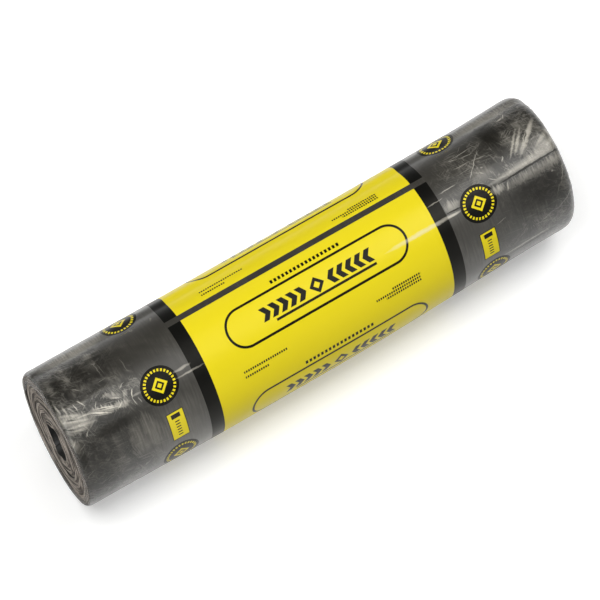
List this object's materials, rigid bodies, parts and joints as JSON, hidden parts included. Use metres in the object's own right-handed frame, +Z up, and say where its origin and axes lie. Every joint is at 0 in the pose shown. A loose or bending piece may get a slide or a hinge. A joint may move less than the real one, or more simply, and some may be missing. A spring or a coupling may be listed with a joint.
{
  "type": "roll of roofing felt",
  "caption": "Roll of bitumen roofing felt lying on its side, wound round an open bore and wrapped in a printed clear film sleeve that is turned in over the rims of both ends.",
  "frame": {"origin": "on the ground under the middle of the roll", "axes": "+X along the roll's axis, +Z up, +Y towards the side that the lap is on"},
  "size_m": [1.001, 0.2546, 0.2545],
  "materials": {
    "felt": "matte dark bitumen felt, with paler fibrous edges at its turns",
    "film": "glossy clear polyethylene film, creased at the ends, with a yellow band and black stripes printed round its middle"
  },
  "bodies": {
    "root": {"felt_roll": "felt", "film_sleeve": "film"}
  },
  "joints": []
}
